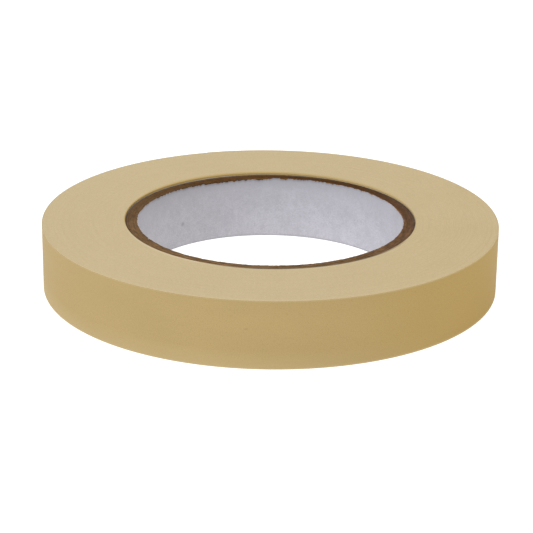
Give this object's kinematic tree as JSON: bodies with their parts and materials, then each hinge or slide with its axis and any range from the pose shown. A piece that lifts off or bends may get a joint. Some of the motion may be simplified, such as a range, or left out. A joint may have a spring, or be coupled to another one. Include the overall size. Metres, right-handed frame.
{
  "type": "masking tape roll",
  "caption": "Roll of creped-paper masking tape on a white-lined paperboard core, lying flat, with a free end that peels up from the outer turn.",
  "frame": {"origin": "centre of the side that the roll lies on", "axes": "+Z along the roll's axis, upwards; the strip's free end is on the +Y side"},
  "size_m": [0.1297, 0.1299, 0.019],
  "materials": {
    "masking_tape": "matte",
    "white_liner_paper": "matte",
    "grey_liner_paper": "matte",
    "chipboard": "matte"
  },
  "bodies": {
    "roll": {"core_inner_liner": "white_liner_paper", "core_board_ply_1": "chipboard", "core_board_ply_2": "chipboard", "core_board_ply_3": "chipboard", "core_board_ply_4": "chipboard", "core_outer_liner": "grey_liner_paper", "tape_winding": "masking_tape", "outer_wrap": "masking_tape"},
    "free_end_1": {"free_end_1": "masking_tape"},
    "free_end_2": {"free_end_2": "masking_tape"},
    "free_end_3": {"free_end_3": "masking_tape"},
    "free_end_4": {"free_end_4": "masking_tape"},
    "free_end_5": {"free_end_5": "masking_tape"},
    "free_end_6": {"free_end_6": "masking_tape"},
    "free_end_7": {"free_end_7": "masking_tape"},
    "free_end_8": {"free_end_8": "masking_tape"}
  },
  "joints": [
    {"name": "peel_1", "type": "hinge", "parent": "roll", "child": "free_end_1", "pos_m": [0.01929, 0.06206, 0.0095], "axis": [0, 0, -1], "range_deg": [0, 14]},
    {"name": "peel_2", "type": "hinge", "parent": "free_end_1", "child": "free_end_2", "pos_m": [0.01446, 0.06336, 0.0095], "axis": [0, 0, -1], "range_deg": [0, 14]},
    {"name": "peel_3", "type": "hinge", "parent": "free_end_2", "child": "free_end_3", "pos_m": [0.00955, 0.06429, 0.0095], "axis": [0, 0, -1], "range_deg": [0, 14]},
    {"name": "peel_4", "type": "hinge", "parent": "free_end_3", "child": "free_end_4", "pos_m": [0.00457, 0.06483, 0.0095], "axis": [0, 0, -1], "range_deg": [0, 14]},
    {"name": "peel_5", "type": "hinge", "parent": "free_end_4", "child": "free_end_5", "pos_m": [-0.00043, 0.06499, 0.0095], "axis": [0, 0, -1], "range_deg": [0, 14]},
    {"name": "peel_6", "type": "hinge", "parent": "free_end_5", "child": "free_end_6", "pos_m": [-0.00542, 0.06477, 0.0095], "axis": [0, 0, -1], "range_deg": [0, 14]},
    {"name": "peel_7", "type": "hinge", "parent": "free_end_6", "child": "free_end_7", "pos_m": [-0.01039, 0.06416, 0.0095], "axis": [0, 0, -1], "range_deg": [0, 14]},
    {"name": "peel_8", "type": "hinge", "parent": "free_end_7", "child": "free_end_8", "pos_m": [-0.01529, 0.06317, 0.0095], "axis": [0, 0, -1], "range_deg": [0, 14]}
  ],
  "couplings": [
    {"joint": "peel_2", "follows": "peel_1", "ratio": 1},
    {"joint": "peel_3", "follows": "peel_1", "ratio": 1},
    {"joint": "peel_4", "follows": "peel_1", "ratio": 1},
    {"joint": "peel_5", "follows": "peel_1", "ratio": 1},
    {"joint": "peel_6", "follows": "peel_1", "ratio": 1},
    {"joint": "peel_7", "follows": "peel_1", "ratio": 1},
    {"joint": "peel_8", "follows": "peel_1", "ratio": 1}
  ]
}
